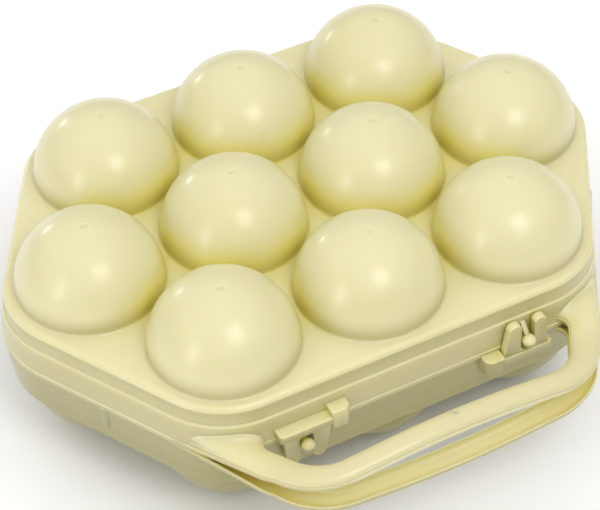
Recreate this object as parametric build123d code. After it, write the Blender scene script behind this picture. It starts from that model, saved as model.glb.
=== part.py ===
from build123d import *
import math
import os

# An egg carton for ten eggs: two identical halves, hinged at the back, each the other turned half round
# about Y. Each half is drawn with its parting plane at z = 0 and its cups hanging below it, the middle of
# the ten cups at x = y = 0 and the handle towards -Y. Dimensions are in millimetres.

# Cups: rows of three, four and three on a triangular grid.
CUP_PITCH = 52.0
ROW_PITCH = CUP_PITCH * math.sqrt(3) / 2
CUP_RADIUS = 24.8
CUP_WALL = 1.4
CUP_FOOT_RADIUS = 2.5
CUP_ROOT_FILLET = 0.8
CUP_MOUTH_FILLET = 1.0
CUP_ROWS = {"front": (3, -ROW_PITCH), "middle": (4, 0.0), "back": (3, ROW_PITCH)}

# Rim: distances outside the hexagon through the six corner cups, and heights from the parting plane.
RIM_HEIGHT = 17.8
DECK_THICKNESS = 1.5
DECK_EDGE_FILLET = 2.0
RIM_WALL = 1.5
TILE_OUT = 26.4
WALL_OUT = 28.5
STEP_OUT = 29.5
LIP_OUT = 30.5
STEP_BELOW_DECK = 7.4

# Handle half: a round-bottomed channel, open towards the parting plane and sprung away from the other half.
HANDLE_REACH = 105.4
HANDLE_WALL = 1.4
HANDLE_SIDE = 1.3
ARM_OUT = 29.6
ARM_WIDTH = 9.6
ARM_DEPTH = 3.3
BAR_WIDTH = 8.4
BAR_DEPTH = 4.0
HANDLE_CORNER_RADIUS = 20.0
ARM_BEND_Y = -62.0
ARM_BEND_RADIUS = 90.0
CORNER_SPRING = 4.0
BAR_SPRING = 8.4
BAR_BOW_RADIUS = 250.0

# Latch fork: a ledge and a plate with two prongs, which reach over the other half's ball stud.
STUD_X = 40.4
STUD_Z = 3.2
STUD_Y = -79.2
BALL_RADIUS = 2.15
STEM_RADIUS = 1.3
WEB_WIDTH = 1.6
WEB_SLOPE = 1.15
FORK_FRONT_Y = -78.6
FORK_BACK_Y = -75.8
FORK_ROOT = (31.5, 48.3)
FORK_TIPS = (33.6, 47.0)
FORK_TOP_Z = 11.2
FORK_TIP_FILLET = 1.8
SLOT_SEAT_Z = 1.2
SLOT_SEAT_WIDTH = 4.6
SLOT_MOUTH_WIDTH = 5.6
LEDGE_FRONT_Y = -79.2
LEDGE_END_X = 49.8
LEDGE_Z = (-4.6, -1.4)
LEDGE_FILLET = 0.7

# Lug: the block beside the fork that a thumb pushes against.
LUG_X = (24.8, 31.5)
LUG_FRONT_Y = -80.0
LUG_DEPTH = 6.8
LUG_OUTER_FILLET = 2.2
LUG_FORK_FILLET = 1.2

# Hinge: a pin between two ears on one side, and a hook for the other half's pin on the other side.
HINGE_X = 40.0
HINGE_Y = 79.5
HINGE_RADIUS = 3.0
PIN_RADIUS = 1.5
PIN_CLEARANCE = 0.08
EAR_GAP = 6.0
EAR_WIDTH = 3.0
HOOK_WIDTH = 5.6
HINGE_ROOT_Z = (-8.5, -1.2)
HOOK_MOUTH_ANGLE = 100.0
HOOK_MOUTH_TILT = 45.0

# The whole carton's origin: middle of its outer box, on the surface that it stands on.
CUP_DEPTH = math.sqrt(CUP_RADIUS**2 - CUP_FOOT_RADIUS**2)
PARTING_Z = RIM_HEIGHT + CUP_DEPTH
HINGE_REACH = HINGE_Y + HINGE_RADIUS
MIDDLE_Y = (HANDLE_REACH - HINGE_REACH) / 2

DECK_Z = -RIM_HEIGHT
STEP_Z = DECK_Z + STEP_BELOW_DECK
FAR = 400.0
INTO_WALL = 7.0
NEIGHBOUR_REACH = 1.1 * CUP_PITCH
SAME_SIZE = 0.01


def cup_centres():
    """Each cup's place in its row and its centre."""
    return {
        f"{row}_{number + 1}": ((number - (count - 1) / 2) * CUP_PITCH, y)
        for row, (count, y) in CUP_ROWS.items()
        for number in range(count)
    }


def outline(out, z):
    """The hexagon through the corner cups, grown by out with round corners, as a face at height z."""
    short, long = CUP_PITCH, 1.5 * CUP_PITCH
    corners = [
        (-short, -ROW_PITCH), (short, -ROW_PITCH), (long, 0),
        (short, ROW_PITCH), (-short, ROW_PITCH), (-long, 0),
    ]
    hexagon = make_face(Polyline(*corners, close=True))
    return Pos(0, 0, z) * offset(hexagon, out, kind=Kind.ARC)


def span_box(x, y, z):
    """A box between two values along each axis."""
    middle = [(pair[0] + pair[1]) / 2 for pair in (x, y, z)]
    return Pos(*middle) * Box(x[1] - x[0], y[1] - y[0], z[1] - z[0])


def rim_envelope():
    """The rim as one filled block, down to its filleted deck edge."""
    upper = extrude(outline(WALL_OUT, DECK_Z), STEP_BELOW_DECK)
    upper = fillet(upper.edges().group_by(Axis.Z)[0], DECK_EDGE_FILLET)
    skirt = loft([outline(STEP_OUT, STEP_Z), outline(LIP_OUT, 0)], ruled=True)
    return upper + skirt


def rim():
    """The ring of deck, wall, step and skirt around the cups, with an opening for their tiles."""
    wall_top = STEP_Z + RIM_WALL
    deck_top = DECK_Z + DECK_THICKNESS
    cavity = extrude(outline(WALL_OUT - RIM_WALL, deck_top), wall_top - deck_top)
    cavity += loft([outline(STEP_OUT - RIM_WALL, wall_top), outline(LIP_OUT - RIM_WALL, 0)], ruled=True)
    opening = extrude(outline(TILE_OUT, DECK_Z), DECK_THICKNESS)
    return rim_envelope() - cavity - opening


def circles(body, radius, z):
    """The body's round edges of a radius at a height."""
    return [
        edge for edge in body.edges().filter_by(GeomType.CIRCLE)
        if abs(edge.radius - radius) < SAME_SIZE and abs(edge.center().Z - z) < SAME_SIZE
    ]


def cup(x, y):
    """One cup with its tile of the deck, which ends half way to each neighbour."""
    tile = extrude(outline(TILE_OUT, DECK_Z), DECK_THICKNESS)
    for other_x, other_y in cup_centres().values():
        distance = math.hypot(other_x - x, other_y - y)
        if 0 < distance < NEIGHBOUR_REACH:
            turn = math.degrees(math.atan2(other_y - y, other_x - x))
            beyond = Pos(CUP_PITCH / 2 + FAR / 2, 0, 0) * Box(FAR, FAR, FAR)
            tile -= Pos(x, y, DECK_Z) * Rot(0, 0, turn) * beyond
    centre = Pos(x, y, DECK_Z)
    bowl = Sphere(CUP_RADIUS) & Pos(0, 0, -CUP_DEPTH / 2) * Cylinder(FAR, CUP_DEPTH)
    body = tile + centre * bowl
    body = fillet(circles(body, CUP_RADIUS, DECK_Z), CUP_ROOT_FILLET)
    inner_radius = CUP_RADIUS - CUP_WALL
    body -= centre * Sphere(inner_radius)
    body -= centre * Pos(0, 0, DECK_THICKNESS) * Cylinder(inner_radius, 2 * DECK_THICKNESS)
    return fillet(circles(body, inner_radius, DECK_Z + DECK_THICKNESS), CUP_MOUTH_FILLET)


def trough(half_width, depth):
    """The filled outline of a trough: straight sides down from y = 0, then half an ellipse."""
    bottom = Pos(0, -HANDLE_SIDE) * Ellipse(half_width, depth - HANDLE_SIDE)
    sides = Pos(0, -HANDLE_SIDE / 2) * Rectangle(2 * half_width, HANDLE_SIDE)
    below = Pos(0, -depth) * Rectangle(2 * half_width, 2 * depth)
    return (bottom + sides) & below


def channel(run, share, width, depth):
    """The handle's section at a place on its path: a trough with a hollow, opening upwards."""
    along = run % share
    place = Plane(run @ share, x_dir=(-along.Y, along.X, 0), z_dir=along)
    return place * (trough(width / 2, depth) - trough(width / 2 - HANDLE_WALL, depth - HANDLE_WALL))


def handle_runs():
    """The runs of the handle's middle line: the right arm from inside the rim, the corner, the bar."""
    arm_way = Vector(-CUP_PITCH / 2, -ROW_PITCH, 0).normalized()
    out_way = Vector(-arm_way.Y, arm_way.X, 0)
    bar_y = BAR_WIDTH / 2 - HANDLE_REACH
    start = Vector(CUP_PITCH, -ROW_PITCH, 0) + out_way * (ARM_OUT - ARM_WIDTH / 2)
    bend = start + arm_way * ((ARM_BEND_Y - start.Y) / arm_way.Y)
    corner = start + arm_way * ((bar_y - start.Y) / arm_way.Y) + Vector(0, 0, -CORNER_SPRING)
    middle = Vector(0, bar_y, -BAR_SPRING)
    far_corner = Vector(-corner.X, corner.Y, corner.Z)
    radii = [ARM_BEND_RADIUS, HANDLE_CORNER_RADIUS, BAR_BOW_RADIUS]
    runs = FilletPolyline(start, bend, corner, middle, far_corner, radius=radii).edges()
    return runs[:3], runs[3], runs[4:7]


def handle_arm():
    """The right arm with the handle's corner, cut where it meets the rim."""
    arm_runs, corner_run, _ = handle_runs()
    arm = sweep(channel(arm_runs[0], 0, ARM_WIDTH, ARM_DEPTH), path=Wire(arm_runs))
    ends = [channel(corner_run, 0, ARM_WIDTH, ARM_DEPTH), channel(corner_run, 1, BAR_WIDTH, BAR_DEPTH)]
    arm += sweep(ends, path=Wire([corner_run]), multisection=True)
    return arm - rim_envelope()


def handle_bar():
    """The bar between the handle's two corners, bowed in the middle."""
    _, corner_run, bar_runs = handle_runs()
    bar = sweep(channel(bar_runs[0], 0, BAR_WIDTH, BAR_DEPTH), path=Wire(bar_runs))
    return bar & Box(2 * (corner_run @ 1).X, FAR, FAR)


def fork():
    """The ledge that stands out of the wall, and the plate with two prongs and a slot for the stud."""
    seat = SLOT_SEAT_WIDTH / 2
    mouth = SLOT_MOUTH_WIDTH / 2
    root_z = sum(LEDGE_Z) / 2
    plate = make_face(Polyline(
        (FORK_ROOT[0], root_z), (FORK_ROOT[1], root_z),
        (FORK_TIPS[1], FORK_TOP_Z), (FORK_TIPS[0], FORK_TOP_Z), close=True,
    ))
    slot = Pos(STUD_X, SLOT_SEAT_Z) * Circle(seat)
    slot += make_face(Polyline(
        (STUD_X - seat, SLOT_SEAT_Z), (STUD_X + seat, SLOT_SEAT_Z),
        (STUD_X + mouth, FORK_TOP_Z), (STUD_X - mouth, FORK_TOP_Z), close=True,
    ))
    plate = fillet((plate - slot).vertices().group_by(Axis.Y)[-1], FORK_TIP_FILLET)
    plate = Pos(0, FORK_BACK_Y, 0) * extrude(Plane.XZ * plate, FORK_BACK_Y - FORK_FRONT_Y)
    ledge = span_box((FORK_ROOT[0], LEDGE_END_X), (LEDGE_FRONT_Y, LEDGE_FRONT_Y + INTO_WALL), LEDGE_Z)
    front = ledge.faces().sort_by(Axis.Y)[0]
    ledge = fillet(front.edges(), LEDGE_FILLET)
    return plate + ledge - rim_envelope()


def lug():
    """The block beside the fork, with round front corners."""
    block = span_box(LUG_X, (LUG_FRONT_Y, LUG_FRONT_Y + INTO_WALL), (-LUG_DEPTH, 0))
    for place, radius in ((0, LUG_OUTER_FILLET), (-1, LUG_FORK_FILLET)):
        corners = block.edges().filter_by(Axis.Z).group_by(Axis.Y)[0].sort_by(Axis.X)
        block = fillet(corners[place], radius)
    return block - rim_envelope()


def stud():
    """The ball that the other half's fork holds, on a stem with a web that slopes up to the wall."""
    ball = Sphere(BALL_RADIUS)
    stem = Pos(0, INTO_WALL / 2, 0) * Rot(90, 0, 0) * Cylinder(STEM_RADIUS, INTO_WALL)
    slope = Polyline((0, 0), (INTO_WALL, 0), (INTO_WALL, -WEB_SLOPE * INTO_WALL), close=True)
    web = Pos(-WEB_WIDTH / 2, 0, 0) * extrude(Plane.YZ * make_face(slope), WEB_WIDTH)
    return Pos(-STUD_X, STUD_Y, -STUD_Z) * (ball + stem + web) - rim_envelope()


def hinge_side(width):
    """A plate of the hinge from its root in the back wall to a round end about the pin, centred on x = 0."""
    low, high = HINGE_ROOT_Z
    root = Polyline((HINGE_Y - INTO_WALL, low), (HINGE_Y - INTO_WALL, high))
    round_end = Pos(HINGE_Y, 0) * Circle(HINGE_RADIUS)
    face = make_hull(round_end.edges() + root.edges())
    plate = Pos(-width / 2, 0, 0) * extrude(Plane.YZ * face, width)
    above = span_box((-width, width), (0, HINGE_Y - HINGE_RADIUS), (0, FAR))
    return plate - above - rim_envelope()


def ears():
    """The two ears that hold the pin's ends."""
    offset_x = (EAR_GAP + EAR_WIDTH) / 2
    ear = hinge_side(EAR_WIDTH)
    return Part(children=[Pos(HINGE_X + side * offset_x, 0, 0) * ear for side in (-1, 1)])


def pin():
    """The pin between the ears."""
    return Pos(HINGE_X, HINGE_Y, 0) * Rot(0, 90, 0) * Cylinder(PIN_RADIUS, EAR_GAP)


def hook():
    """The hook that snaps over the other half's pin, with its mouth up and away from the wall."""
    body = hinge_side(HOOK_WIDTH)
    bore = Pos(0, HINGE_Y, 0) * Rot(0, 90, 0) * Cylinder(PIN_RADIUS + PIN_CLEARANCE, 2 * HOOK_WIDTH)
    sides = [
        Vector(2 * HINGE_RADIUS, 0).rotate(Axis.Z, HOOK_MOUTH_TILT + side * HOOK_MOUTH_ANGLE / 2)
        for side in (-1, 1)
    ]
    mouth = Pos(HINGE_Y, 0) * make_face(Polyline((0, 0), *sides, close=True))
    body -= Pos(-HOOK_WIDTH, 0, 0) * extrude(Plane.YZ * mouth, 2 * HOOK_WIDTH)
    return Pos(-HINGE_X, 0, 0) * (body - bore)


def save(name, shape):
    """Put a piece in its place on the carton and write it."""
    placed = Pos(0, MIDDLE_Y, PARTING_Z) * shape
    export_step(placed, f"parts/{name}.step")


def save_pair(name, shape):
    """Write a piece of the base, and the same piece of the lid, which is the base turned half round."""
    save(f"base_{name}", shape)
    save(f"lid_{name}", Rot(0, 180, 0) * shape)


os.makedirs("parts", exist_ok=True)
for place, (x, y) in cup_centres().items():
    tile = cup(x, y)
    save(f"base_cup_{place}", tile)
    save(f"lid_cup_{place}", mirror(tile, Plane.XY))
arm = handle_arm()
for side, side_arm in {"right": arm, "left": mirror(arm, Plane.YZ)}.items():
    save(f"base_handle_{side}_arm", side_arm)
    save(f"lid_handle_{side}_arm", mirror(side_arm, Plane.XY))
save_pair("handle_bar", handle_bar())
save_pair("rim", rim())
save_pair("latch_fork", fork())
save_pair("latch_lug", lug())
save_pair("latch_stud", stud())
save_pair("hinge_ears", ears())
save_pair("hinge_pin", pin())
save_pair("hinge_hook", hook())
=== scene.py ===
"""The looks of a hinged egg carton: two moulded halves of pale yellow polyethylene, on the CAD frame."""
import math

import bmesh
import bpy
import numpy as np
from mathutils import Matrix, Vector


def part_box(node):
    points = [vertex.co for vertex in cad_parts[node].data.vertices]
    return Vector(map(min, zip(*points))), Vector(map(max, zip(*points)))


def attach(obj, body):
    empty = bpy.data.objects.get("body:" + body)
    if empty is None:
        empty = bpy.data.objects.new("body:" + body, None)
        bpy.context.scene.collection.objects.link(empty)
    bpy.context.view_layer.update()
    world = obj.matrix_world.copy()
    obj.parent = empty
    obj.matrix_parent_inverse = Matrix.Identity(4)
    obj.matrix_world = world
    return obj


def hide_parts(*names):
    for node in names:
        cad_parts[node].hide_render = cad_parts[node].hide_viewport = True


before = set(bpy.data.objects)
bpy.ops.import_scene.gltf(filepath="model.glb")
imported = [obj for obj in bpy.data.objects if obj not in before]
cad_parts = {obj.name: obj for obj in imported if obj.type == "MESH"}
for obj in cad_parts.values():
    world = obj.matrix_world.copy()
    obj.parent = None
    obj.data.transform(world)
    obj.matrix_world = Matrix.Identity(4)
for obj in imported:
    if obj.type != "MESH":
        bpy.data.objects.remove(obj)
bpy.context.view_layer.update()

# ---------------------------------------------------------------------------------------------------------
# Driving dimensions, in millimetres. A half is drawn with its cups up, its parting plane at z = 0, the
# middle of its cups at x = y = 0 and the handle towards -Y.

MM = 0.001
TINY = 1e-6
PITCH = 52.0
ROW = PITCH * math.sqrt(3) / 2
# Name, number of cups and y of each row.
CUP_ROWS = (("front", 3, -ROW), ("middle", 4, 0.0), ("back", 3, ROW))
CUP_RADIUS = 24.8
FOOT_RADIUS = 2.5
CUP_DEPTH = math.sqrt(CUP_RADIUS**2 - FOOT_RADIUS**2)
CUP_WALL = 1.4
ROOT_FILLET = 0.8
MOUTH_FILLET = 1.0
# Each cup's tile of the shell is built on this many rays.
RAYS = 96
# The gate's mark on a cup's crown, as (radius, depth below the crown), from its edge to its middle.
CUP_GATE = ((1.25, 0.03), (1.05, 0.11), (0.88, 0.35), (0.56, 0.39), (0.43, 0.17), (0.29, 0.06), (0.0, 0.04))

# The deck and the rim. Each OUT is a distance outside the hexagon through the corner cups' middles.
DECK_Z = 17.8
DECK_THICKNESS = 1.5
DECK_EDGE = 2.0
WALL_OUT = 28.5
STEP_OUT = 29.5
LIP_OUT = 30.5
STEP_Z = 10.4
RIM_WALL = 1.5
FLAT_OUT = WALL_OUT - DECK_EDGE
DRAFT = (LIP_OUT - STEP_OUT) / STEP_Z

# The handle: its reach from the cups' middle, its wall at the crown and at the lips, the height of its
# upright sides and the bead along them, then its plan and its spring away from the parting plane.
HANDLE_REACH = 105.4
HANDLE_WALL = 1.4
HANDLE_LIP = 0.5
HANDLE_SIDE = 1.5
HANDLE_BEAD = 0.3
LIP_ROUND = 0.15
ARM_OUT = 29.6
ARM_WIDTH = 9.6
ARM_DEPTH = 3.3
ROOT_DEPTH = 5.0
ROOT_WIDER = 0.8
BAR_WIDTH = 8.4
BAR_DEPTH = 4.0
CORNER_RADIUS = 20.0
WINDOW_FILLET = 4.2
ROOT_BLEND = 1.6
BEND_Y = -62.0
BEND_RUN = 4.0
CORNER_SPRING = 4.0
BAR_SPRING = 8.4
BOW_RUN = 23.0
# The broken sprue's mark on the bar, from the middle of the bar's crown.
SPRUE_X = 0.3
SPRUE_Y = 1.0

# The middle of the stud's ball, and the hinge's axis.
STUD_X = 40.4
STUD_Y = -79.2
STUD_Z = 3.2
HINGE_X = 40.0
HINGE_Y = 79.5
HINGE_ROUND = 3.0
# Latch and hinge pieces start this far from the middle, inside the rim's wall.
WALL_ROOT_Y = 74.6

rim_low, rim_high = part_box("lid_rim")
PARTING = rim_low[2] / MM
MIDDLE_Y = (rim_low[1] + rim_high[1]) / 2 / MM


# ---------------------------------------------------------------------------------------------------------
# Mesh building


class Shape:
    """Points and faces of one piece, in millimetres, in the half's own frame."""

    def __init__(self):
        self.points = []
        self.faces = []

    def grid(self, rows, around=False):
        """Quads between rows of points. around also joins each row's last point to its first."""
        rows = np.asarray(rows, float)
        count, width = rows.shape[:2]
        first = len(self.points)
        self.points += [tuple(point) for point in rows.reshape(-1, 3)]
        for row in range(count - 1):
            for column in range(width if around else width - 1):
                after = (column + 1) % width
                low = first + row * width
                high = low + width
                self.faces.append((low + column, low + after, high + after, high + column))

    def cap(self, loop):
        """One face over a closed loop of points."""
        first = len(self.points)
        self.points += [tuple(point) for point in loop]
        self.faces.append(tuple(range(first, first + len(loop))))


def arc(centre, radius, start, end, steps):
    """Points on a circle between two angles in degrees, both ends included."""
    angles = np.radians(np.linspace(start, end, steps + 1))
    return [(centre[0] + radius * math.cos(a), centre[1] + radius * math.sin(a)) for a in angles]


def rounded(corners, steps=6):
    """A closed outline through (x, y, radius) corners, with an arc at each."""
    outline = []
    count = len(corners)
    for index, (x, y, radius) in enumerate(corners):
        corner = Vector((x, y))
        before = (Vector(corners[index - 1][:2]) - corner).normalized()
        after = (Vector(corners[(index + 1) % count][:2]) - corner).normalized()
        if radius == 0:
            outline.append((x, y))
            continue
        half = before.angle(after) / 2
        run = radius / math.tan(half)
        centre = corner + (before + after).normalized() * radius / math.sin(half)
        first = corner + before * run - centre
        last = corner + after * run - centre
        turn = first.angle_signed(last)
        for step in range(steps + 1):
            spoke = Matrix.Rotation(-turn * step / steps, 2) @ first
            outline.append(tuple(centre + spoke))
    return outline


def plate(outline, low, high, bevel, place, steps=4):
    """A slab over a closed outline, with a round of radius bevel along both faces.

    place turns (x, y, height) into a point of the half's frame.
    """
    outline = np.array(outline, float)
    following = np.roll(outline, -1, axis=0) - outline
    leading = outline - np.roll(outline, 1, axis=0)
    following /= np.linalg.norm(following, axis=1)[:, None]
    leading /= np.linalg.norm(leading, axis=1)[:, None]
    along = following + leading
    along /= np.linalg.norm(along, axis=1)[:, None]
    inward = np.stack([-along[:, 1], along[:, 0]], axis=1)
    area = np.sum(outline[:, 0] * np.roll(outline[:, 1], -1) - outline[:, 1] * np.roll(outline[:, 0], -1))
    inward *= math.copysign(1, area)
    rows = []
    for step in range(steps + 1):
        angle = math.pi / 2 * step / steps
        rows.append((bevel * (1 - math.sin(angle)), low + bevel * (1 - math.cos(angle))))
    for step in range(steps + 1):
        angle = math.pi / 2 * step / steps
        rows.append((bevel * (1 - math.cos(angle)), high - bevel * (1 - math.sin(angle))))
    loops = []
    for inset, height in rows:
        ring = outline + inward * inset
        loops.append([place(x, y, height) for x, y in ring])
    shape = Shape()
    shape.grid(loops, around=True)
    shape.cap(loops[0])
    shape.cap(loops[-1])
    return shape


def lathe(profile, place, spokes=40):
    """A turned solid: profile is (radius, height) pairs, and place turns (x, y, height) into a point."""
    angles = np.linspace(0, 2 * math.pi, spokes, endpoint=False)
    rings = []
    for radius, height in profile:
        rings.append([place(radius * math.cos(a), radius * math.sin(a), height) for a in angles])
    shape = Shape()
    shape.grid(rings, around=True)
    return shape


HALVES = {
    "lid": Matrix.Translation((0, MIDDLE_Y, PARTING)),
    "base": Matrix.Translation((0, MIDDLE_Y, PARTING)) @ Matrix.Rotation(math.pi, 4, "Y"),
}
WELD_DISTANCE = 1e-6
SHARP = math.radians(40)


def add_piece(half, name, shapes, nodes, material):
    """Make one piece of a half from closed shapes, in place, and hide the CAD nodes that it stands for."""
    work = bmesh.new()
    for shape in shapes:
        points = [work.verts.new(HALVES[half] @ Vector(point) * MM) for point in shape.points]
        for face in shape.faces:
            work.faces.new([points[index] for index in face])
    bmesh.ops.remove_doubles(work, verts=work.verts, dist=WELD_DISTANCE)
    bmesh.ops.dissolve_degenerate(work, edges=work.edges, dist=WELD_DISTANCE)
    bmesh.ops.recalc_face_normals(work, faces=work.faces)
    mesh = bpy.data.meshes.new(f"{half}_{name}_mesh")
    work.to_mesh(mesh)
    work.free()
    mesh.shade_smooth()
    mesh.set_sharp_from_angle(angle=SHARP)
    mesh.materials.append(material)
    piece = bpy.data.objects.new(f"{half}_{name}", mesh)
    bpy.context.scene.collection.objects.link(piece)
    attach(piece, half)
    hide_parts(*[f"{half}_{node}" for node in nodes])


# ---------------------------------------------------------------------------------------------------------
# Shell of a half: deck, ten cups and rim in one skin

CUPS = [((number - (count - 1) / 2) * PITCH, y) for _, count, y in CUP_ROWS for number in range(count)]
CORNERS = np.array([
    (-PITCH, -ROW), (PITCH, -ROW), (1.5 * PITCH, 0), (PITCH, ROW), (-PITCH, ROW), (-1.5 * PITCH, 0),
])
FARTHEST = 3 * PITCH
NEIGHBOUR_REACH = 1.1 * PITCH
HALVINGS = 60
ON_EDGE = 1e-9


def nearest(points):
    """For each point: the nearest point of the corner cups' hexagon, the distance outside it, the way out."""
    points = np.atleast_2d(points).astype(float)
    ahead = np.roll(CORNERS, -1, axis=0)
    best = np.full(len(points), np.inf)
    foot = np.zeros_like(points)
    inside = np.ones(len(points), bool)
    for start, end in zip(CORNERS, ahead):
        side = end - start
        normal = np.array([side[1], -side[0]]) / np.linalg.norm(side)
        inside &= (points - start) @ normal <= ON_EDGE
        share = np.clip((points - start) @ side / (side @ side), 0, 1)
        near = start + share[:, None] * side
        distance = np.linalg.norm(points - near, axis=1)
        closer = distance < best
        best[closer] = distance[closer]
        foot[closer] = near[closer]
    away = points - foot
    length = np.linalg.norm(away, axis=1)
    away = away / np.maximum(length, ON_EDGE)[:, None]
    return foot, np.where(inside, -best, best), away


def outside(points):
    """How far each point is outside the corner cups' hexagon. It is negative inside."""
    return nearest(points)[1]


def tile_edge(cup):
    """The tile round a cup, a point for each ray: half way to its neighbours, or out to the deck's edge."""
    centre = np.array(cup)
    angles = np.arange(RAYS) * 2 * math.pi / RAYS
    rays = np.stack([np.cos(angles), np.sin(angles)], axis=1)
    low = np.zeros(RAYS)
    high = np.full(RAYS, FARTHEST)
    for _ in range(HALVINGS):
        middle = (low + high) / 2
        beyond = outside(centre + rays * middle[:, None]) > FLAT_OUT
        high = np.where(beyond, middle, high)
        low = np.where(beyond, low, middle)
    reach = low
    on_rim = np.ones(RAYS, bool)
    joints = []
    for other in CUPS:
        gap = np.array(other) - centre
        distance = np.linalg.norm(gap)
        if not TINY < distance < NEIGHBOUR_REACH:
            continue
        facing = rays @ gap / distance
        limit = np.where(facing > TINY, PITCH / 2 / np.maximum(facing, TINY), np.inf)
        on_rim &= limit > reach
        reach = np.minimum(reach, limit)
        middle = centre + gap / 2
        foot, depth, _ = nearest(middle)
        if abs(depth[0]) < TINY:
            normal = np.array([gap[1], -gap[0]]) / distance
            normal *= math.copysign(1, normal @ middle)
            joints.append(middle + normal * FLAT_OUT)
    points = centre + rays * reach[:, None]
    for joint in joints:
        way = joint - centre
        sideways = np.abs(rays[:, 0] * way[1] - rays[:, 1] * way[0])
        closest = np.argmin(np.where(rays @ way > 0, sideways, PITCH))
        points[closest] = joint
        on_rim[closest] = True
    return rays, points, on_rim


def cup_profile():
    """The outside of a cup, as (radius, height above the deck), from the deck to the crown."""
    reach = math.sqrt((CUP_RADIUS + ROOT_FILLET) ** 2 - ROOT_FILLET**2)
    lean = math.degrees(math.asin(ROOT_FILLET / (CUP_RADIUS + ROOT_FILLET)))
    last_angle = 86
    profile = arc((reach, ROOT_FILLET), ROOT_FILLET, 270, 180 + lean, 5)
    for angle in np.radians(np.linspace(lean, last_angle, 28))[1:]:
        profile.append((CUP_RADIUS * math.cos(angle), CUP_DEPTH * math.sin(angle)))
    return profile + [(radius, CUP_DEPTH - depth) for radius, depth in CUP_GATE]


def bowl_profile():
    """The inside of a cup, from its round mouth in the deck's inner face to its bottom."""
    inner = CUP_RADIUS - CUP_WALL
    profile = arc((inner + MOUTH_FILLET, -DECK_THICKNESS + MOUTH_FILLET), MOUTH_FILLET, 270, 180, 5)
    for angle in np.radians(np.linspace(0, 90, 25)):
        profile.append((inner * math.cos(angle), inner * math.sin(angle)))
    return profile


def rim_profile():
    """The rim's section, as (distance outside the hexagon, height), from the deck's edge round to inside."""
    step_round, lip_round = 0.3, 0.25
    bead_height, bead_drop, bead_edge, bead_out = 1.0, 0.15, 0.10, 0.22
    box_clearance = 0.05
    skirt_drops = (0.6, 3.0, 5.5, 8.0, 8.95, 9.15)
    skirt = STEP_OUT - bead_out
    bead = LIP_OUT - box_clearance
    # Outside: the deck's round edge, the wall, the step, the skirt and the bead at the parting line.
    profile = arc((FLAT_OUT, DECK_Z - DECK_EDGE), DECK_EDGE, 90, 0, 8)
    profile += arc((WALL_OUT + step_round, STEP_Z + step_round), step_round, 180, 270, 3)
    profile += arc((skirt - step_round, STEP_Z - step_round), step_round, 90, 0, 4)
    profile += [(skirt + DRAFT * drop, STEP_Z - drop) for drop in skirt_drops]
    profile += [(bead - bead_edge, bead_height), (bead, bead_height - bead_drop)]
    profile += arc((bead - lip_round, lip_round), lip_round, 0, -90, 4)

    inner_lip_round, inner_step_round, inner_deck_round = 0.2, 0.5, 0.8
    inner_step_low, inner_step_high = STEP_Z + 0.2, STEP_Z + 1.0
    skirt_rises = (3.0, 6.0)
    inner_lip = LIP_OUT - RIM_WALL
    inner_step = STEP_OUT - RIM_WALL
    inner_wall = WALL_OUT - RIM_WALL
    inner_deck = DECK_Z - DECK_THICKNESS
    # Inside: back up from the parting line to the deck's inner face.
    profile += arc((inner_lip + inner_lip_round, inner_lip_round), inner_lip_round, 270, 180, 2)
    profile += [(inner_lip - DRAFT * rise, rise) for rise in skirt_rises]
    profile += arc((inner_step - inner_step_round, inner_step_low), inner_step_round, 0, 90, 3)
    profile += arc((inner_wall + step_round, inner_step_high), step_round, 270, 180, 3)
    corner = (inner_wall - inner_deck_round, inner_deck - inner_deck_round)
    profile += arc(corner, inner_deck_round, 0, 90, 4)
    return profile


def shell_shape():
    """The deck, ten cups and rim as one closed skin, built tile by tile round the cups."""
    shape = Shape()
    outer = cup_profile()
    inner = bowl_profile()
    rim = rim_profile()
    inner_out = rim[-1][0]
    for cup in CUPS:
        rays, points, on_rim = tile_edge(cup)
        centre = np.array(cup)
        foot, _, away = nearest(points)
        edge_inner = np.where(on_rim[:, None], foot + away * inner_out, points)

        def ring(radius, height):
            xy = centre + rays * radius
            return np.column_stack([xy, np.full(RAYS, height)])

        dome = [np.column_stack([points, np.full(RAYS, DECK_Z)])]
        dome += [ring(radius, DECK_Z + height) for radius, height in outer]
        shape.grid(dome, around=True)
        bowl = [np.column_stack([edge_inner, np.full(RAYS, DECK_Z - DECK_THICKNESS)])]
        bowl += [ring(radius, DECK_Z + height) for radius, height in inner]
        shape.grid(bowl, around=True)
        for index in range(RAYS):
            after = (index + 1) % RAYS
            if on_rim[index] and on_rim[after]:
                pair = []
                for column in (index, after):
                    pair.append([(*(foot[column] + away[column] * out), height) for out, height in rim])
                shape.grid(pair)
    return shape


def weld_rib():
    """A low upright rib on the skirt's slanted right side, where the mould's runs of plastic met."""
    half_width, crest_half, crest, sunk, depth = 1.6, 1.3, 0.24, 0.03, 0.9
    from_corner = 27.0
    low, high = 0.4, STEP_Z - 0.1
    bump = []
    for x in np.linspace(half_width, -half_width, 17):
        bump.append((x, crest * math.cos(math.radians(90 * x / crest_half)) - sunk))
    outline = [(half_width, -depth), *bump, (-half_width, -depth)]
    along = np.array([0.5, math.sqrt(3) / 2])
    across = np.array([math.sqrt(3) / 2, -0.5])

    def place(x, y, z):
        out = LIP_OUT - DRAFT * z + y
        return (*(np.array([PITCH, -ROW]) + along * (from_corner + x) + across * out), z)

    return plate(outline, low, high, bevel=0.25, place=place)


# ---------------------------------------------------------------------------------------------------------
# Handle half: a channel that opens towards the other half and is sprung away from it

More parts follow.
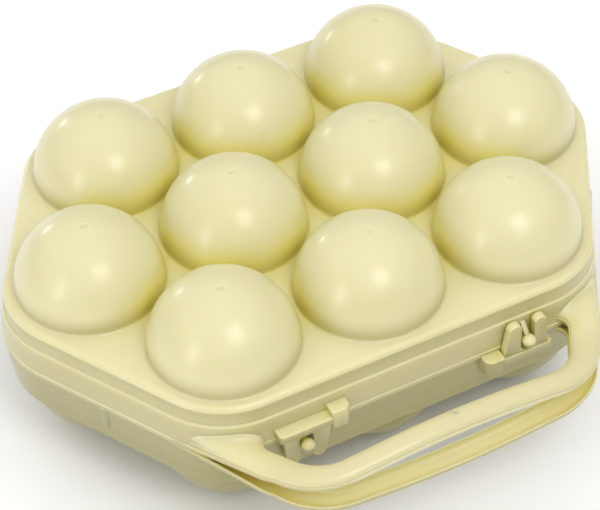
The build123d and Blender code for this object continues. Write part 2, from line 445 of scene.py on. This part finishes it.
ARM_WAY = np.array([-0.5, -math.sqrt(3) / 2])
ARM_ACROSS = np.array([math.sqrt(3) / 2, -0.5])
ARM_START = np.array([PITCH, -ROW]) + ARM_ACROSS * (ARM_OUT - ARM_WIDTH / 2)
BAR_Y = BAR_WIDTH / 2 - HANDLE_REACH
BEND_S = (BEND_Y - ARM_START[1]) / ARM_WAY[1]
CORNER_S = (BAR_Y - ARM_START[1]) / ARM_WAY[1]
CORNER_X = (ARM_START + ARM_WAY * CORNER_S)[0]
MIDDLE_S = CORNER_S + CORNER_X
CORNER_RUN = CORNER_RADIUS * math.tan(math.radians(30))
ARM_SLOPE = CORNER_SPRING / (CORNER_S - BEND_S)
BAR_SLOPE = (BAR_SPRING - CORNER_SPRING) / CORNER_X

# The root takes the handle from inside the rim's wall to CLEAR_S, past the window's round corner.
EMBED = 1.3
CLEAR_RUN = 3.0
ROOT_ROWS = 22
ROOT_RISE_RUN = 8.5
ROOT_RISE_POWER = 0.8
ROOT_INNER_SHARE = 0.35
ROOT_OUTER_SHARE = 0.15
WALL_Y = -ROW - LIP_OUT + EMBED
WALL_S = (WALL_Y - ARM_START[1] + ARM_ACROSS[1] * (ARM_WIDTH / 2 + WINDOW_FILLET)) / ARM_WAY[1]
CLEAR_S = WALL_S - WINDOW_FILLET / ARM_WAY[1] + CLEAR_RUN

OUTER_STEPS = 26
OUTSIDE_POINTS = OUTER_STEPS + 9
HOLLOW_STEPS = 18
ARM_ROWS = 10
CORNER_ROWS = 15
BAR_ROWS = 18


def ease(share):
    """A share from 0 to 1 with level ends."""
    return share * share * (3 - 2 * share)


def soft(x, run):
    """x where it is positive and 0 where it is negative, eased within run of 0."""
    return np.where(np.abs(x) < run, (x + run) ** 2 / (4 * run), np.maximum(x, 0))


def spring(s):
    """How far the handle stands away from the parting plane at a length along its unrounded path."""
    rise = ARM_SLOPE * soft(s - BEND_S, BEND_RUN)
    rise += (BAR_SLOPE - ARM_SLOPE) * soft(s - CORNER_S, CORNER_RUN)
    return float(rise - 2 * BAR_SLOPE * soft(s - MIDDLE_S, BOW_RUN))


def handle_line(s):
    """Middle of the handle, the way out from its window, half width and depth at a length from the root."""
    if s <= CORNER_S - CORNER_RUN:
        share = np.clip((s - CLEAR_S) / (CORNER_S - CORNER_RUN - CLEAR_S), 0, 1)
        wider = ROOT_WIDER * (1 - ease(share)) / 2
        return ARM_START + ARM_WAY * s + ARM_ACROSS * wider, ARM_ACROSS, ARM_WIDTH / 2 + wider, ARM_DEPTH
    if s <= CORNER_S + CORNER_RUN:
        share = (s - CORNER_S + CORNER_RUN) / (2 * CORNER_RUN)
        turn = math.radians(-30 - 60 * share)
        out = np.array([math.cos(turn), math.sin(turn)])
        centre = np.array([CORNER_X - CORNER_RUN, BAR_Y + CORNER_RADIUS])
        half = (ARM_WIDTH + (BAR_WIDTH - ARM_WIDTH) * ease(share)) / 2
        return centre + out * CORNER_RADIUS, out, half, ARM_DEPTH + (BAR_DEPTH - ARM_DEPTH) * ease(share)
    return np.array([MIDDLE_S - s, BAR_Y]), np.array([0.0, -1.0]), BAR_WIDTH / 2, BAR_DEPTH


def section(half, depth):
    """The channel's outline as (distance across, height): over the outside and its bead, and back inside."""
    lip = [
        (half - LIP_ROUND, 0.0), (half, LIP_ROUND), (half, HANDLE_SIDE - HANDLE_BEAD),
        (half - HANDLE_BEAD, HANDLE_SIDE - LIP_ROUND),
    ]
    crown = [
        ((half - HANDLE_BEAD) * math.cos(angle), HANDLE_SIDE + (depth - HANDLE_SIDE) * math.sin(angle))
        for angle in np.linspace(0, math.pi, OUTER_STEPS + 1)
    ]
    inner = half - HANDLE_LIP
    rise = depth - HANDLE_WALL
    hollow = [
        (inner * math.cos(angle), rise * math.sin(angle))
        for angle in np.linspace(math.pi, 0, HOLLOW_STEPS + 1)
    ]
    far_lip = [(-across, height) for across, height in reversed(lip)]
    return lip + crown + far_lip + hollow


def resample(points, count):
    """count points at even steps along a line through points."""
    points = np.array(points, float)
    steps = np.concatenate([[0], np.cumsum(np.linalg.norm(np.diff(points, axis=0), axis=1))])
    even = np.linspace(0, steps[-1], count)
    return np.column_stack([np.interp(even, steps, points[:, axis]) for axis in range(2)])


def handle_root():
    """Rows of points of the right root, from inside the rim's wall out to where the plain arm starts."""
    half = ARM_WIDTH / 2
    outer = half + ROOT_WIDER

    def local(s, t):
        return ARM_START + ARM_WAY * s + ARM_ACROSS * t

    # The window's corner: a round between the arm's inner edge and the front wall.
    round_s = CLEAR_S - CLEAR_RUN
    inner_edge = [local(CLEAR_S, -half)]
    for angle in np.radians(np.linspace(90, 210, 16)):
        inner_edge.append(local(
            round_s + WINDOW_FILLET * math.cos(angle),
            -half - WINDOW_FILLET + WINDOW_FILLET * math.sin(angle),
        ))
    inner_edge = resample(inner_edge, ROOT_ROWS)
    outer_edge = resample([local(CLEAR_S, outer), local(0, outer)], ROOT_ROWS)

    # The root's end runs inside the rim's wall, from the window's corner to the side wall.
    stop = LIP_OUT - EMBED
    turns = np.radians(np.linspace(-90, -30, 25))
    wall = [(PITCH + stop * math.cos(a), -ROW + stop * math.sin(a)) for a in turns]
    shares = np.linspace(0, 1, 41)
    root_end = resample([tuple(inner_edge[-1]), *wall, tuple(outer_edge[-1])], len(shares))
    straight = np.array([local(CLEAR_S, share * (half + outer) - half) for share in shares])

    def at(places, line, where):
        """The point of a line at a share, given the shares of its points."""
        return np.array([np.interp(where, places, line[:, axis]) for axis in range(2)])

    def on_root(u, v):
        """The root's plan at u, from the arm to the wall, and v, from the window to the outer side."""
        index = np.linspace(0, 1, ROOT_ROWS)
        sides = (1 - v) * at(index, inner_edge, u) + v * at(index, outer_edge, u)
        ends = (1 - u) * at(shares, straight, v) + u * at(shares, root_end, v)
        near = (1 - v) * straight[0] + v * straight[-1]
        far = (1 - v) * root_end[0] + v * root_end[-1]
        return sides + ends - (1 - u) * near - u * far

    rows = []
    for u in np.linspace(1, 0, ROOT_ROWS):
        depth = ARM_DEPTH + (ROOT_DEPTH - ARM_DEPTH) * ease(u)
        row = []
        for index, (across, height) in enumerate(section(half, depth)):
            v = (across / half + 1) / 2
            xy = on_root(u, v)
            s = float((xy - ARM_START) @ ARM_WAY)
            edge = min(1, max(0, min(v / ROOT_INNER_SHARE, (1 - v) / ROOT_OUTER_SHARE)))
            gap = outside(xy)[0] - (LIP_OUT - DRAFT * height)
            near = ROOT_BLEND - min(max(gap, 0), ROOT_BLEND)
            blend = (ROOT_BLEND - math.sqrt(ROOT_BLEND**2 - near**2)) * ease(edge)
            taper = min(1, max(s, 0) / ROOT_RISE_RUN) ** ROOT_RISE_POWER
            if index >= OUTSIDE_POINTS:
                height = (height + blend * height / depth) * taper
            elif height > HANDLE_SIDE:
                height = HANDLE_SIDE + (height + blend - HANDLE_SIDE) * taper
            row.append((*xy, height + spring(s)))
        rows.append(row)
    return rows


def gate_scar():
    """The ring where the sprue was broken off the bar's crown, as (radius, height over the crown) turned."""
    profile = [(0, -0.5), (0.95, -0.5), (0.85, 0.10), (0.6, 0.16), (0.4, 0.05), (0.3, -0.12), (0, -0.14)]
    crown = spring(MIDDLE_S - SPRUE_X) + BAR_DEPTH
    return lathe(profile, lambda x, y, h: (SPRUE_X + x, BAR_Y + SPRUE_Y + y, crown + h), spokes=20)


def handle_shape():
    """The whole handle half, from the rim on the right round to the rim on the left."""
    rows = handle_root()
    corner_start, corner_end = CORNER_S - CORNER_RUN, CORNER_S + CORNER_RUN
    arm_s = np.linspace(CLEAR_S, corner_start, ARM_ROWS)[1:]
    corner_s = np.linspace(corner_start, corner_end, CORNER_ROWS)[1:]
    bar_s = np.linspace(corner_end, MIDDLE_S, BAR_ROWS)[1:]
    for s in np.concatenate([arm_s, corner_s, bar_s]):
        middle, out, width, depth = handle_line(s)
        row = []
        for across, height in section(width, depth):
            row.append((*(middle + out * across), height + spring(s)))
        rows.append(row)
    rows = np.array(rows)
    other = rows[:-1][::-1].copy()
    other[:, :, 0] *= -1
    shape = Shape()
    shape.grid(np.concatenate([rows, other]), around=True)
    shape.cap(rows[0])
    shape.cap(other[-1])
    return shape


# ---------------------------------------------------------------------------------------------------------
# Latch and hinge pieces of a half


def fork_shapes():
    """The ledge and the hanging plate with two prongs and the stud's slot."""
    front, back = -78.6, -75.8
    top_z, seat_z, tip_z = 3.0, 1.3, -11.2
    tip_round, seat_round = 2.0, 2.4
    outline = rounded([
        (-48.3, top_z, 0), (-47.0, tip_z, tip_round), (-42.9, tip_z, tip_round), (-42.85, seat_z, seat_round),
        (-37.95, seat_z, seat_round), (-37.9, tip_z, tip_round), (-33.6, tip_z, 2.1), (-31.5, top_z, 0),
    ], steps=9)
    prongs = plate(outline, front, back, bevel=0.18, place=lambda x, z, depth: (x, depth, z), steps=3)
    ledge_left, ledge_right, ledge_front = -49.8, -31.3, -79.2
    ledge_low, ledge_high = 1.4, 4.6
    ledge_outline = rounded([
        (ledge_left, ledge_front, 1.4), (ledge_right, ledge_front, 0.4),
        (ledge_right, -WALL_ROOT_Y, 0), (ledge_left, -WALL_ROOT_Y, 0),
    ])
    ledge = plate(ledge_outline, ledge_low, ledge_high, bevel=0.28, place=lambda x, y, z: (x, y, z))
    return [prongs, ledge]


def lug_shape():
    """The block that a thumb pushes against. Its front leans back towards its top."""
    left, right, front_y, root_y = -31.5, -24.8, -80.0, -74.4
    height, lean = 6.8, 0.022
    outline = rounded([(left, front_y, 1.2), (right, front_y, 2.7), (right, root_y, 0), (left, root_y, 0)])

    def place(x, y, z):
        return (x, root_y + (y - root_y) * (1 - lean * z), z)

    return plate(outline, 0.0, height, bevel=0.3, place=place)


def stud_shapes():
    """A ball on a stem with a flared root, and a web that slopes from the ball up to the wall."""
    ball, stem = 2.35, 1.3
    # The stem's flared root and the ball, as (radius, distance from the half's middle).
    profile = [(0, WALL_ROOT_Y), (2.0, WALL_ROOT_Y), (2.0, 75.2), (1.65, 75.45), (1.4, 75.9), (stem, 76.5)]
    neck = math.degrees(math.asin(stem / ball))
    for angle in np.radians(np.linspace(180 - neck, 0, 20)):
        profile.append((ball * math.sin(angle), -STUD_Y + ball * math.cos(angle)))
    # The web's side, as (y, z) corners: two in the ball, two inside the wall.
    slope = [(-78.9, 3.4), (-74.4, 3.4), (-74.4, 8.4), (-78.6, 4.6)]
    half_width = 0.85
    low, high = STUD_X - half_width, STUD_X + half_width
    web = plate(slope, low, high, bevel=0.25, place=lambda y, z, x: (x, y, z))
    return [lathe(profile, lambda x, y, h: (STUD_X + x, -h, STUD_Z + y)), web]


# Ears and hooks: where they meet the wall, and the angle at which their round ends meet their sloped tops.
HINGE_HIGH = 7.05
HINGE_LOW = 0.2
TANGENT = 55.3


def hinge_arc(radius, start, end, steps=24):
    """Points about the hinge's axis, as (y, z), between two angles in degrees."""
    return arc((HINGE_Y, 0), radius, start, end, steps)


def ear_shapes():
    """Two ears with round ends."""
    gap_half, thickness = 3.0, 3.0
    outline = [(WALL_ROOT_Y, HINGE_HIGH), (WALL_ROOT_Y, HINGE_LOW), (HINGE_Y - HINGE_ROUND, HINGE_LOW)]
    outline += hinge_arc(HINGE_ROUND, 184, 360 + TANGENT)
    shapes = []
    for low in (-HINGE_X - gap_half - thickness, -HINGE_X + gap_half):
        shapes.append(plate(outline, low, low + thickness, bevel=0.4, place=lambda y, z, x: (x, y, z)))
    return shapes


def pin_shape():
    """The pin between the ears, with a flare at each end, as (radius, distance from its middle)."""
    profile = [(0, -3.3), (1.9, -3.3), (1.9, -3.0), (1.6, -2.85), (1.5, -2.5)]
    profile += [(radius, -height) for radius, height in reversed(profile)]
    return lathe(profile, lambda x, y, h: (-HINGE_X + h, HINGE_Y + x, y))


def hook_shape():
    """A C that snaps over the other half's pin."""
    # The C's inner radius, its mouth's sides in degrees, and the rounding that leads the pin in.
    inner, lead_in = 1.58, 0.25
    mouth_start, mouth_end, mouth_lead = 258, 12, 7
    outline = [(WALL_ROOT_Y, HINGE_LOW), (WALL_ROOT_Y, HINGE_HIGH)]
    outline += hinge_arc(HINGE_ROUND, TANGENT, mouth_end, 8)
    outline += hinge_arc(inner + lead_in, mouth_end - mouth_lead, mouth_end - mouth_lead, 0)
    outline += hinge_arc(inner, mouth_end, mouth_start, 36)
    outline += hinge_arc(inner + lead_in, mouth_start + mouth_lead, mouth_start + mouth_lead, 0)
    outline += hinge_arc(HINGE_ROUND, mouth_start, 184, 12)
    outline += [(HINGE_Y - HINGE_ROUND, HINGE_LOW)]
    half_width = 2.8
    low, high = HINGE_X - half_width, HINGE_X + half_width
    return plate(outline, low, high, bevel=0.18, place=lambda y, z, x: (x, y, z), steps=2)


# ---------------------------------------------------------------------------------------------------------
# Material


def polyethylene():
    """Satin, slightly see-through moulded plastic with flow marks, fine grain, scuffs and a few specks."""
    material = bpy.data.materials.new("butter_yellow_polyethylene")
    material.use_nodes = True
    nodes = material.node_tree.nodes
    links = material.node_tree.links
    shader = nodes["Principled BSDF"]
    place = nodes.new("ShaderNodeTexCoord").outputs["Object"]

    def noise(scale, detail, stretch=(1, 1, 1)):
        mapping = nodes.new("ShaderNodeMapping")
        mapping.inputs["Scale"].default_value = stretch
        links.new(place, mapping.inputs["Vector"])
        texture = nodes.new("ShaderNodeTexNoise")
        texture.inputs["Scale"].default_value = scale
        texture.inputs["Detail"].default_value = detail
        links.new(mapping.outputs["Vector"], texture.inputs["Vector"])
        return texture.outputs["Fac"]

    def ramp(value, low, high, start=0.0, end=1.0):
        """start where the value is low and below, end where it is high and above, and eased between."""
        node = nodes.new("ShaderNodeMapRange")
        node.interpolation_type = "SMOOTHSTEP"
        for name, number in (("From Min", low), ("From Max", high), ("To Min", start), ("To Max", end)):
            node.inputs[name].default_value = number
        links.new(value, node.inputs["Value"])
        return node.outputs["Result"]

    def mix(share, first, second):
        node = nodes.new("ShaderNodeMix")
        node.data_type = "RGBA"
        for socket, value in ((node.inputs[0], share), (node.inputs[6], first), (node.inputs[7], second)):
            if isinstance(value, (tuple, float)):
                socket.default_value = value
            else:
                links.new(value, socket)
        return node.outputs[2]

    def maths(operation, first, second):
        node = nodes.new("ShaderNodeMath")
        node.operation = operation
        for socket, value in zip(node.inputs, (first, second)):
            if isinstance(value, float):
                socket.default_value = value
            else:
                links.new(value, socket)
        return node.outputs[0]

    # The plastic, its flow streaks, painted bounce light in the hollows, painted shade on upright sides and
    # towards the foot, a darker upper handle, edges with wear and painted highlight, and specks.
    body = (0.738, 0.678, 0.392, 1)
    flow = (0.718, 0.652, 0.356, 1)
    painted_bounce = (0.840, 0.735, 0.110, 1)
    painted_shade = (0.388, 0.350, 0.143, 1)
    painted_low_shade = (0.300, 0.270, 0.080, 1)
    upper_handle_tone = (0.560, 0.515, 0.300, 1)
    wear_and_highlight = (0.820, 0.770, 0.510, 1)
    speck = (0.30, 0.22, 0.10, 1)
    colour = mix(ramp(noise(scale=22, detail=4), 0.42, 0.72), body, flow)
    # Painted bounce light: the colour is deepened between the cups, standing in for light that bounces about
    # there.
    shelter = nodes.new("ShaderNodeAmbientOcclusion")
    shelter.samples = 8
    shelter.inputs["Distance"].default_value = 0.035
    colour = mix(ramp(shelter.outputs["AO"], 0.05, 0.64, 1.0, 0.0), colour, painted_bounce)
    # Painted shade: upright and under sides are greyer, darkest where they face down, as if less lit.
    surface = nodes.new("ShaderNodeNewGeometry")
    upright = nodes.new("ShaderNodeSeparateXYZ")
    links.new(surface.outputs["Normal"], upright.inputs["Vector"])
    colour = mix(ramp(upright.outputs["Z"], -0.12, 0.34, 1.0, 0.0), colour, painted_shade)
    # Painted shade towards the foot, but not on the handle, and a darker tone on the upper handle.
    level = nodes.new("ShaderNodeSeparateXYZ")
    links.new(place, level.inputs["Vector"])
    on_handle = ramp(level.outputs["Y"], -0.082, -0.070, 1.0, 0.0)
    low = ramp(level.outputs["Z"], 0.015, 0.050, 0.5, 0.0)
    colour = mix(maths("MULTIPLY", low, maths("SUBTRACT", 1.0, on_handle)), colour, painted_low_shade)
    high = ramp(level.outputs["Z"], 0.040, 0.047, 0.0, 0.5)
    colour = mix(maths("MULTIPLY", high, on_handle), colour, upper_handle_tone)
    # Lighter edges, partly rubbed wear and partly a painted highlight along them, then rare dark specks.
    edge = ramp(surface.outputs["Pointiness"], 0.54, 0.66, 0.0, 0.45)
    colour = mix(edge, colour, wear_and_highlight)
    cells = nodes.new("ShaderNodeTexVoronoi")
    cells.inputs["Scale"].default_value = 110
    links.new(place, cells.inputs["Vector"])
    dot = ramp(cells.outputs["Distance"], 0.03, 0.055, 1.0, 0.0)
    rare = ramp(noise(scale=60, detail=1), 0.66, 0.70)
    colour = mix(maths("MULTIPLY", dot, maths("MULTIPLY", rare, 0.55)), colour, speck)
    links.new(colour, shader.inputs["Base Color"])

    # Gloss: satin, rougher in long thin scuffs.
    scuffs = ramp(noise(scale=45, detail=6, stretch=(1, 9, 3)), 0.60, 0.72)
    satin = ramp(noise(scale=140, detail=4), 0.3, 0.7, 0.34, 0.40)
    links.new(maths("ADD", satin, maths("MULTIPLY", scuffs, 0.10)), shader.inputs["Roughness"])
    shader.inputs["IOR"].default_value = 1.51
    shader.inputs["Coat Weight"].default_value = 0.5
    shader.inputs["Coat Roughness"].default_value = 0.20
    shader.inputs["Subsurface Weight"].default_value = 0.45
    shader.inputs["Subsurface Radius"].default_value = (1.0, 0.75, 0.28)
    shader.inputs["Subsurface Scale"].default_value = 0.0035

    # Relief: fine grain, and shallow waves from uneven shrinking.
    def bump(height, strength, distance):
        node = nodes.new("ShaderNodeBump")
        node.inputs["Strength"].default_value = strength
        node.inputs["Distance"].default_value = distance
        links.new(height, node.inputs["Height"])
        return node

    grain = bump(noise(scale=1500, detail=3), strength=0.05, distance=0.00012)
    waves = bump(noise(scale=55, detail=2), strength=0.12, distance=0.0004)
    links.new(grain.outputs["Normal"], waves.inputs["Normal"])
    links.new(waves.outputs["Normal"], shader.inputs["Normal"])
    return material


def studio_floor():
    """Matt white paper."""
    material = bpy.data.materials.new("white_paper")
    material.use_nodes = True
    nodes = material.node_tree.nodes
    links = material.node_tree.links
    shader = nodes["Principled BSDF"]
    texture = nodes.new("ShaderNodeTexNoise")
    texture.inputs["Scale"].default_value = 3
    tone = nodes.new("ShaderNodeValToRGB")
    tone.color_ramp.elements[0].color = (0.94, 0.94, 0.94, 1)
    tone.color_ramp.elements[1].color = (0.96, 0.96, 0.96, 1)
    links.new(texture.outputs["Fac"], tone.inputs["Fac"])
    links.new(tone.outputs["Color"], shader.inputs["Base Color"])
    shader.inputs["Roughness"].default_value = 0.9
    return material


# ---------------------------------------------------------------------------------------------------------
# Pieces

plastic = polyethylene()
shell = shell_shape()
handle = handle_shape()
cup_nodes = [f"cup_{row}_{number + 1}" for row, count, _ in CUP_ROWS for number in range(count)]
handle_nodes = ["handle_bar", "handle_left_arm", "handle_right_arm"]
for half in HALVES:
    add_piece(half, "shell", [shell, weld_rib()], ["rim", *cup_nodes], plastic)
    add_piece(half, "handle", [handle, gate_scar()], handle_nodes, plastic)
    add_piece(half, "fork", fork_shapes(), ["latch_fork"], plastic)
    add_piece(half, "lug", [lug_shape()], ["latch_lug"], plastic)
    add_piece(half, "stud", stud_shapes(), ["latch_stud"], plastic)
    add_piece(half, "ears", ear_shapes(), ["hinge_ears"], plastic)
    add_piece(half, "pin", [pin_shape()], ["hinge_pin"], plastic)
    add_piece(half, "hook", [hook_shape()], ["hinge_hook"], plastic)

FLOOR_SIZE = 6
bpy.ops.mesh.primitive_plane_add(size=FLOOR_SIZE, location=(0, 0, 0))
floor = bpy.context.object
floor.name = "floor"
floor.data.materials.append(studio_floor())


# ---------------------------------------------------------------------------------------------------------
# Light and camera


def soft_light(name, width, height, power, place, target=(0, 0, 0.04)):
    """A rectangular lamp that faces the target. Lengths and places are in metres, the power in watts."""
    light = bpy.data.lights.new(name, "AREA")
    light.shape = "RECTANGLE"
    light.size = width
    light.size_y = height
    light.energy = power
    lamp = bpy.data.objects.new(name, light)
    lamp.location = place
    lamp.rotation_euler = (Vector(target) - Vector(place)).to_track_quat("-Z", "Y").to_euler()
    bpy.context.scene.collection.objects.link(lamp)


def sky(horizon, zenith):
    """A plain studio dome, darker at its edge than overhead."""
    world = bpy.context.scene.world or bpy.data.worlds.new("studio")
    bpy.context.scene.world = world
    world.use_nodes = True
    nodes = world.node_tree.nodes
    links = world.node_tree.links
    place = nodes.new("ShaderNodeTexCoord")
    split = nodes.new("ShaderNodeSeparateXYZ")
    height = nodes.new("ShaderNodeMapRange")
    height.inputs["To Min"].default_value = horizon
    height.inputs["To Max"].default_value = zenith
    links.new(place.outputs["Generated"], split.inputs["Vector"])
    links.new(split.outputs["Z"], height.inputs["Value"])
    links.new(height.outputs["Result"], nodes["Background"].inputs["Strength"])
    nodes["Background"].inputs["Color"].default_value = (1, 1, 1, 1)


def place_camera():
    """The camera, placed from the middle of the lid's deck, in mm, and turned by azimuth, elevation, roll."""
    azimuth, elevation, roll = math.radians(-26.7), math.radians(45.3), math.radians(-1.33)
    from_deck = Vector((-247.5, -488.5, 527.3))
    level = math.cos(elevation)
    back = Vector((math.sin(azimuth) * level, -math.cos(azimuth) * level, math.sin(elevation)))
    right = Vector((math.cos(azimuth), math.sin(azimuth), 0))
    up = back.cross(right)
    right, up = right * math.cos(roll) + up * math.sin(roll), up * math.cos(roll) - right * math.sin(roll)
    data = bpy.data.cameras.new("camera")
    data.lens = 136.25
    data.sensor_width = 36
    camera = bpy.data.objects.new("camera", data)
    turn = Matrix((right, up, back)).transposed().to_4x4()
    deck_middle = Vector((0, MIDDLE_Y, PARTING + DECK_Z))
    camera.matrix_world = Matrix.Translation((deck_middle + from_deck) * MM) @ turn
    bpy.context.scene.collection.objects.link(camera)
    bpy.context.scene.camera = camera


soft_light("front", 0.44, 0.44, 2.9, (0.03, -0.70, 1.00))
soft_light("left", 0.26, 0.56, 1.9, (-1.10, -0.33, 0.45))
soft_light("back", 0.16, 0.12, 0.7, (-0.28, 1.20, 0.27))
sky(horizon=0.24, zenith=1.33)
place_camera()
bpy.context.scene.view_settings.view_transform = "Standard"
